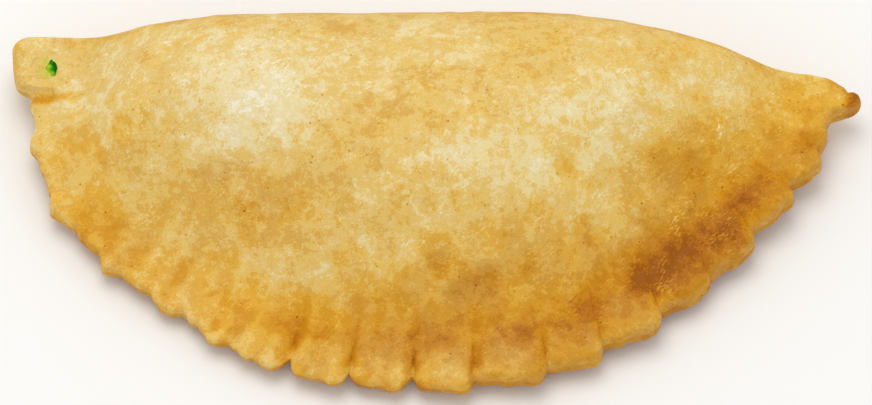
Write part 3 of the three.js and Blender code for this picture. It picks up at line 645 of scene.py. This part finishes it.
def crust_features(skin, wander):
    """What is coloured in its own way, each from 0 to about 1 at every point of the skin: browning, and in
    places painted light and shade.
    """
    share, row, side, inward = skin["share"], skin["row"], skin["side"], skin["inward"]
    x, y = skin["at"][:, 0], skin["at"][:, 1]
    on_rim, on_fold = 1 - skin["fold"], skin["fold"]
    # The valley is browner and also painted darker for the shade that falls in it.
    past_valley = skin["from_rim"] - mix(*VALLEY_IN, fade(share, VALLEY_MOVES_IN, VALLEY_MOVES_BACK))
    valley = on_rim * bell(past_valley, np.where(past_valley < 0, *VALLEY_WIDTHS))
    pad = on_rim * (1 - side**2) * bell(row - PAD_ROW, PAD_ROWS) * skin["pressed"]
    # The pads' outer edge is darker: partly browning, partly painted shade on the rim's side.
    pad_edge = on_rim * bell(inward, PAD_EDGE_WIDTH)
    # Creases and the amber dough beside them are darker: partly browning, partly painted shade.
    crease = on_rim * skin["creasing"] / CREASE_DEPTH * smooth(inward, *CREASE_SHOWS)
    amber = on_rim * bell(1 - side, AMBER_SIDE) * fade(row, AMBER_ROWS_START, AMBER_ROWS_END)
    amber = amber * (1 - AMBER_EASING * smooth(share, *AMBER_EASES))
    # Along the fold's back the crust is darker: partly browning, partly painted shade where the dough turns
    # away.
    fold_back = on_fold * (1 - smooth(skin["from_fold"], *FOLD_BACK_REACH))
    return {
        "valley": valley * fade(share, VALLEY_STARTS, RIM_COLOUR_ENDS),
        "pad": pad,
        "dry_pad": pad * smooth(share, *PAD_DRIES),
        "pad_edge": pad_edge * fade(share, PAD_EDGE_STARTS, PAD_EDGE_ENDS),
        "crease": crease,
        "deep_crease": crease * smooth(share, *CREASE_DEEPENS),
        "amber": amber * fade(share, AMBER_STARTS, RIM_COLOUR_ENDS),
        "wall": on_rim * (1 - smooth(inward, *WALL_INWARD)) * smooth(share, *WALL_STARTS),
        "fold_back": fold_back * fade(share, FOLD_BACK_STARTS, FOLD_BACK_ENDS),
        "below": skin["under"] * mix(1, smooth(inward, *BELOW_FOLD), on_fold),
        "burnt_tip": oval(skin["at"] + MARK_WANDER * wander, *BURNT_TIP, hard=BURNT_TIP_HARD),
        # Ribs: crests painted paler and the hollows between them darker, painted light and shade on their
        # relief.
        "ribs": skin["ribs"],
        # Darker at the front right: partly browning, partly painted shade where the belly faces away from the
        # lamp.
        "front_right": smooth(x, *RIGHT_X) * (1 - smooth(y, *RIGHT_Y)),
        "front": smooth(-y, *FRONT_Y),
    }


def browning_and_painted_light_of(points, skin):
    """Tone (0 pale to 1 dark brown), golden tint, flouriness and herb stain of every point of the skin. The
    tone is browning, with painted light and shade in places.
    """
    wander = sum(reach * np.column_stack([lumps(points + shift, size) for shift in shifts])
                 for size, reach, shifts in WANDERING)
    places, marked = skin["at"] + wander, skin["at"] + MARK_WANDER * wander
    lined = skin["at"] + LINE_WANDER * wander
    features = crust_features(skin, wander)
    tone = PLAIN_TONE + spread(BROWNING_AND_PAINTED_LIGHT, places) + spread(MARKS, marked)
    tone += sum(amount * features[name] for name, amount in DARKENS.items())
    golden = PLAIN_GOLDEN + spread(GOLDEN, places)
    golden += sum(amount * features[name] for name, amount in GILDS.items())
    stain = oval(lined, *np.add(FLECK_PLACE, STAIN_OFFSET), *STAIN_HALF, hard=STAIN_HARD)
    return {
        "browning_and_painted_light": mix(tone, WALL_TONE, WALL_TONE_SHARE * features["wall"]),
        "golden": mix(golden, WALL_GOLDEN, WALL_GOLDEN_SHARE * features["wall"]),
        "floury": PLAIN_FLOURY + spread(FLOURY, places) + WRINKLE_FLOURY * wrinkles(lined),
        "herb_stain": stain * (1 - skin["under"]),
    }


def linear(hex_colour):
    """An sRGB hex colour as linear red, green, blue and alpha."""
    channels = [int(hex_colour[i:i + 2], 16) / 255 for i in (1, 3, 5)]
    return [c / 12.92 if c <= 0.04045 else ((c + 0.055) / 1.055) ** 2.4 for c in channels] + [1.0]


def put(tree, kind, takes=None, stops=(), **settings):
    """Adds one node with its settings. Each thing that it takes is a plain value or another node's output.

    Stops are the places and hex colours of a node that turns a value into a colour.
    """
    node = tree.nodes.new(kind)
    for name, value in settings.items():
        setattr(node, name, value)
    for socket, value in (takes or {}).items():
        if isinstance(value, bpy.types.NodeSocket):
            tree.links.new(value, node.inputs[socket])
        else:
            node.inputs[socket].default_value = value
    if stops:
        node.color_ramp.interpolation = "EASE"
        while len(node.color_ramp.elements) < len(stops):
            node.color_ramp.elements.new(1.0)
        for element, (place, colour) in zip(node.color_ramp.elements, stops):
            element.position, element.color = place, linear(colour)
    return node


def new_material(name):
    made = bpy.data.materials.new(name)
    made.use_nodes = True
    made.node_tree.nodes.clear()
    return made, made.node_tree


# Tan crust: dough that has dried in the oil without taking much colour.
TAN_STOPS = [(0.0, "#efe7ce"), (0.1, "#e8d9ab"), (0.2, "#e5cb8a"), (0.3, "#e0bd6c"), (0.4, "#d7ab57"),
             (0.5, "#d09d44"), (0.6, "#c88f39"), (0.7, "#c08229"), (0.82, "#b06d17"), (1.0, "#98570c")]
# Golden crust: where the oil has coloured it most.
GOLDEN_STOPS = [(0.0, "#f0e2b4"), (0.12, "#ead597"), (0.22, "#e7c675"), (0.32, "#e5b953"),
                (0.42, "#dfa938"), (0.52, "#d59926"), (0.62, "#cf8f14"), (0.74, "#c27d08"),
                (0.86, "#b36b06"), (1.0, "#9a5604")]
# Patches of uneven browning: size, change of tone, half width of the edge in the pattern's own units.
PATCHES = [(11.0, 0.08, 0.04), (4.0, 0.065, 0.03), (1.4, 0.06, 0.04), (0.4, 0.07, 0.1)]
# Tones gather in levels: tone from one level to the next, and how hard they are drawn to them.
LEVEL_STEP, LEVEL_PULL = 0.14, 0.024
# Flecks of flour: sizes of one, slant in degrees, how flouriness adds to them, their edge, change of tone.
FLOUR_SIZE, FLOUR_SLANT = (0.3, 0.95, 0.5), -48
FLOUR_MORE, FLOUR_EDGE, FLOUR_CHANGE = 0.09, (0.63, 0.665), -0.32
DRIFT_SIZE, DRIFT_EDGE = 5.0, (0.42, 0.6)
# Pin-prick burns: spacing, edge in shares of the spacing, change of tone.
BURN_SPACING, BURN_EDGE, BURN_CHANGE = 2.4, (0.105, 0.05), 0.45
# Patches of golden tint: size, edge, change either way.
TINT_SIZE, TINT_EDGE, TINT_CHANGE = 4.5, (0.43, 0.57), 0.2
# Herb juice: colour, size of the spots that it soaked into, their edge.
JUICE_COLOUR, JUICE_SPOTS, JUICE_EDGE = "#b8c52a", 0.5, (0.38, 0.55)
# Roughness of a pale and of a brown crust, and the tones between which it changes.
ROUGH_PALE, ROUGH_BROWN, ROUGH_TONES = 0.7, 0.5, (0.1, 0.8)
# Grain and pimples of the crust: sizes, the pimples' share, height. The grain is coarser than real, to show.
GRAIN_SIZE, PIMPLE_SIZE, PIMPLE_SHARE, GRAIN_HEIGHT = 0.7, 2.2, 0.8, 0.25


def fried_dough():
    """Wheat dough rolled thin and deep fried: a dry, patchy crust, matt where pale, oilier where brown."""
    made, tree = new_material("fried_wheat_dough")
    where = put(tree, "ShaderNodeTexCoord").outputs["Object"]
    in_mm = put(tree, "ShaderNodeMapping", {"Vector": where, "Scale": (1 / MM,) * 3}).outputs[0]
    # The tone is browning, with painted shade in the valley, the creases and along the edges, and a painted
    # highlight on the belly's upper left.
    tone = put(tree, "ShaderNodeAttribute", attribute_name="browning_and_painted_light").outputs["Fac"]
    golden = put(tree, "ShaderNodeAttribute", attribute_name="golden").outputs["Fac"]
    floury = put(tree, "ShaderNodeAttribute", attribute_name="floury").outputs["Fac"]

    # Frying browns dough in patches with ragged edges, smaller ones within larger ones.
    for size, change, edge in PATCHES:
        cloud = put(tree, "ShaderNodeTexNoise",
                    {"Vector": in_mm, "Scale": 1 / size, "Detail": 5.0, "Roughness": 0.65}).outputs["Fac"]
        patch = put(tree, "ShaderNodeMapRange",
                    {0: cloud, 1: 0.5 - edge, 2: 0.5 + edge, 3: -change / 2, 4: change / 2},
                    interpolation_type="SMOOTHSTEP").outputs[0]
        tone = put(tree, "ShaderNodeMath", {0: tone, 1: patch}, operation="ADD").outputs[0]

    # Crust colours in levels: thin skin over a blister browns at once, thicker dough beside it later.
    turns = 2 * math.pi / LEVEL_STEP
    level = put(tree, "ShaderNodeMath", {0: tone, 1: turns}, operation="MULTIPLY").outputs[0]
    level = put(tree, "ShaderNodeMath", {0: level}, operation="SINE").outputs[0]
    tone = put(tree, "ShaderNodeMath", {0: level, 1: -LEVEL_PULL, 2: tone},
               operation="MULTIPLY_ADD").outputs[0]

    # Dry flecks of flour: slanting, about 1 by 0.3 mm, gathered in drifts 5 mm across.
    slanted = put(tree, "ShaderNodeMapping",
                  {"Vector": in_mm, "Rotation": (0, 0, math.radians(FLOUR_SLANT)), "Scale": FLOUR_SIZE},
                  vector_type="TEXTURE").outputs[0]
    flecks = put(tree, "ShaderNodeTexNoise", {"Vector": slanted, "Scale": 1.0, "Detail": 2}).outputs["Fac"]
    flecks = put(tree, "ShaderNodeMath", {0: floury, 1: FLOUR_MORE, 2: flecks},
                 operation="MULTIPLY_ADD").outputs[0]
    flecks = put(tree, "ShaderNodeMapRange", {0: flecks, 1: FLOUR_EDGE[0], 2: FLOUR_EDGE[1]}).outputs[0]
    drift = put(tree, "ShaderNodeTexNoise",
                {"Vector": in_mm, "Scale": 1 / DRIFT_SIZE, "Detail": 3}).outputs["Fac"]
    drift = put(tree, "ShaderNodeMapRange", {0: drift, 1: DRIFT_EDGE[0], 2: DRIFT_EDGE[1]}).outputs[0]
    flecks = put(tree, "ShaderNodeMath", {0: flecks, 1: drift}, operation="MULTIPLY").outputs[0]
    flecks = put(tree, "ShaderNodeMath", {0: flecks, 1: floury}, operation="MULTIPLY").outputs[0]
    tone = put(tree, "ShaderNodeMath", {0: flecks, 1: FLOUR_CHANGE, 2: tone},
               operation="MULTIPLY_ADD").outputs[0]

    # Pin-prick burns, up to 0.5 mm across, at most one in 2.4 mm, no two equally dark.
    cells = put(tree, "ShaderNodeTexVoronoi", {"Vector": in_mm, "Scale": 1 / BURN_SPACING})
    burns = put(tree, "ShaderNodeMapRange",
                {0: cells.outputs["Distance"], 1: BURN_EDGE[0], 2: BURN_EDGE[1]}).outputs[0]
    chance = put(tree, "ShaderNodeSeparateColor", {0: cells.outputs["Color"]}).outputs[0]
    burns = put(tree, "ShaderNodeMath", {0: burns, 1: chance}, operation="MULTIPLY").outputs[0]
    tone = put(tree, "ShaderNodeMath", {0: burns, 1: BURN_CHANGE, 2: tone},
               operation="MULTIPLY_ADD").outputs[0]

    # The same tone gives a tan or a golden crust, in patches of its own.
    tan = put(tree, "ShaderNodeValToRGB", {0: tone}, TAN_STOPS).outputs[0]
    gold = put(tree, "ShaderNodeValToRGB", {0: tone}, GOLDEN_STOPS).outputs[0]
    tint = put(tree, "ShaderNodeTexNoise",
               {"Vector": in_mm, "Scale": 1 / TINT_SIZE, "Detail": 5}).outputs["Fac"]
    tint = put(tree, "ShaderNodeMapRange",
               {0: tint, 1: TINT_EDGE[0], 2: TINT_EDGE[1], 3: -TINT_CHANGE, 4: TINT_CHANGE}).outputs[0]
    tint = put(tree, "ShaderNodeMath", {0: golden, 1: tint}, operation="ADD", use_clamp=True).outputs[0]
    crust = put(tree, "ShaderNodeMix", {0: tint, 6: tan, 7: gold}, data_type="RGBA").outputs[2]

    # Juice of the herb fleck, soaked into the dough beside it.
    stain = put(tree, "ShaderNodeAttribute", attribute_name="herb_stain").outputs["Fac"]
    soaked = put(tree, "ShaderNodeTexNoise",
                 {"Vector": in_mm, "Scale": 1 / JUICE_SPOTS, "Detail": 2}).outputs["Fac"]
    soaked = put(tree, "ShaderNodeMapRange", {0: soaked, 1: JUICE_EDGE[0], 2: JUICE_EDGE[1]}).outputs[0]
    stain = put(tree, "ShaderNodeMath", {0: stain, 1: soaked}, operation="MULTIPLY").outputs[0]
    crust = put(tree, "ShaderNodeMix", {0: stain, 6: crust, 7: linear(JUICE_COLOUR)},
                data_type="RGBA").outputs[2]

    # The crust is porous, so it hides most of its sheen; brown places are a little oilier.
    rough = put(tree, "ShaderNodeMapRange",
                {0: tone, 1: ROUGH_TONES[0], 2: ROUGH_TONES[1], 3: ROUGH_PALE, 4: ROUGH_BROWN}).outputs[0]
    grain = put(tree, "ShaderNodeTexNoise",
                {"Vector": in_mm, "Scale": 1 / GRAIN_SIZE, "Detail": 3}).outputs["Fac"]
    pimples = put(tree, "ShaderNodeTexNoise",
                  {"Vector": in_mm, "Scale": 1 / PIMPLE_SIZE, "Detail": 2}).outputs["Fac"]
    uneven = put(tree, "ShaderNodeMath", {0: pimples, 1: PIMPLE_SHARE, 2: grain},
                 operation="MULTIPLY_ADD").outputs[0]
    bump = put(tree, "ShaderNodeBump",
               {"Strength": 0.4, "Distance": GRAIN_HEIGHT * MM, "Height": uneven}).outputs[0]
    shader = put(tree, "ShaderNodeBsdfPrincipled",
                 {"Base Color": crust, "Roughness": rough, "IOR": 1.45, "Specular IOR Level": 0.15,
                  "Normal": bump})
    put(tree, "ShaderNodeOutputMaterial", {"Surface": shader.outputs[0]})
    return made


def keep_values(mesh, name, values):
    """Keeps a value of each point in the mesh, for its material."""
    mesh.attributes.new(name, "FLOAT", "POINT").data.foreach_set("value", values.astype(np.float32))


def build_skin(points, faces, attributes, shift):
    mesh = bpy.data.meshes.new("pastry")
    mesh.from_pydata(((points + shift) * MM).tolist(), [], faces.tolist())
    for name, values in attributes.items():
        keep_values(mesh, name, values)
    mesh.polygons.foreach_set("use_smooth", np.ones(len(mesh.polygons), bool))
    mesh.materials.append(fried_dough())
    piece = bpy.data.objects.new("pastry", mesh)
    bpy.context.scene.collection.objects.link(piece)
    return piece


# A wilted leaf, from its moist green to its dried yellow.
HERB_STOPS = [(0.1, "#0c5a02"), (0.4, "#1f8a04"), (0.62, "#76ac12"), (0.9, "#b4c232")]


def chopped_herb():
    """A scrap of parsley leaf, wilted by the heat: dull, dark green, yellowed where it dried."""
    made, tree = new_material("chopped_herb_leaf")
    dried = put(tree, "ShaderNodeAttribute", attribute_name="dried").outputs["Fac"]
    green = put(tree, "ShaderNodeValToRGB", {0: dried}, HERB_STOPS).outputs[0]
    shader = put(tree, "ShaderNodeBsdfPrincipled",
                 {"Base Color": green, "Roughness": 0.6, "IOR": 1.4, "Specular IOR Level": 0.1})
    put(tree, "ShaderNodeOutputMaterial", {"Surface": shader.outputs[0]})
    return made


def make_fleck(points, shift):
    """A crumpled grain, half sunk in the tab's top."""
    from_middle = np.linalg.norm(points[:, :2] - FLECK_PLACE, axis=-1)
    near = np.argsort(from_middle - FLECK_TOP_FIRST * points[:, 2])[:FLECK_RESTS_ON]
    middle = np.array([*FLECK_PLACE, points[near, 2].mean()])
    bpy.ops.mesh.primitive_ico_sphere_add(subdivisions=FLECK_DIVISIONS, radius=1)
    fleck = bpy.context.object
    fleck.name = fleck.data.name = "herb_fleck"
    ball = np.array([v.co for v in fleck.data.vertices])
    crumples = sum(height * lumps(ball + apart, size) for size, height, apart in FLECK_CRUMPLES)
    crumpled = ball * (1 + crumples)[:, None]
    fleck.data.vertices.foreach_set("co", ((crumpled * FLECK_SIZE / 2 + middle + shift) * MM).ravel())
    spot_size, spotted, apart = DRIED_SPOTS
    dried = FLECK_DRIED - DRIED_LEFT * ball[:, 0] - DRIED_FRONT * ball[:, 1]
    keep_values(fleck.data, "dried", dried + spotted * lumps(ball + apart, spot_size))
    fleck.data.polygons.foreach_set("use_smooth", np.ones(len(fleck.data.polygons), bool))
    fleck.data.materials.append(chopped_herb())
    return fleck


# The stage, in metres and watts.
FLOOR_SIZE, ROOM_LIGHT = 40, 0.77
LAMP_SIZE, LAMP_POWER, LAMP_PLACE = 0.7, 3.8, (-0.1, 0.2, 1.05)


def matt_paper():
    """Uncoated white paper, rolled flat: matt and bright, so that only soft shadows show on it."""
    made, tree = new_material("pale_matt_paper")
    shader = put(tree, "ShaderNodeBsdfPrincipled", {"Base Color": linear("#f6f5f2"), "Roughness": 0.9})
    put(tree, "ShaderNodeOutputMaterial", {"Surface": shader.outputs[0]})
    return made


def plain_stage():
    """A pale floor, even room light and one broad soft lamp overhead, a little behind and to the left."""
    scene = bpy.context.scene
    bpy.ops.mesh.primitive_plane_add(size=FLOOR_SIZE)
    floor = bpy.context.object
    floor.name = "floor"
    floor.data.materials.append(matt_paper())
    scene.world = bpy.data.worlds.new("room")
    scene.world.use_nodes = True
    room = scene.world.node_tree.nodes["Background"]
    room.inputs["Color"].default_value = linear("#ffffff")
    room.inputs["Strength"].default_value = ROOM_LIGHT
    lamp = bpy.data.lights.new("soft_lamp", "AREA")
    lamp.shape, lamp.size, lamp.energy = "DISK", LAMP_SIZE, LAMP_POWER
    holder = bpy.data.objects.new("soft_lamp", lamp)
    holder.location = LAMP_PLACE
    holder.rotation_euler = (-holder.location).to_track_quat("-Z", "Y").to_euler()
    scene.collection.objects.link(holder)
    scene.view_settings.view_transform = "Standard"


# The photograph's view: from the front, 60 degrees up, through a long lens that takes in so many millimetres.
VIEW_UP, VIEW_LENS, SENSOR, VIEW_ACROSS = 60.0, 600.0, 36.0, 153.15
VIEW_AIM = (-0.1, -0.1, 10.0)


def place_camera(shift):
    lens = bpy.data.cameras.new("camera")
    lens.lens, lens.sensor_width = VIEW_LENS, SENSOR
    camera = bpy.data.objects.new("camera", lens)
    up = math.radians(VIEW_UP)
    back = Vector((0, -math.cos(up), math.sin(up)))
    distance = VIEW_ACROSS * VIEW_LENS / SENSOR * MM
    camera.location = Vector(np.array(VIEW_AIM) + shift) * MM + back * distance
    camera.rotation_euler = (-back).to_track_quat("-Z", "Y").to_euler()
    bpy.context.scene.collection.objects.link(camera)
    bpy.context.scene.camera = camera


# The solid's box is centred in plan, so the outlines move by what that centring took.
SHIFT = np.array([CAD_LOW.x / MM + LENGTH / 2, CAD_HIGH.y / MM - FOLD.points[:, 1].max(), 0.0])
points, faces, skin = make_pastry()
pastry = build_skin(points, faces, browning_and_painted_light_of(points, skin), SHIFT)
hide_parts("empanada")
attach(pastry, "root")
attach(make_fleck(points, SHIFT), "root")
plain_stage()
place_camera(SHIFT)
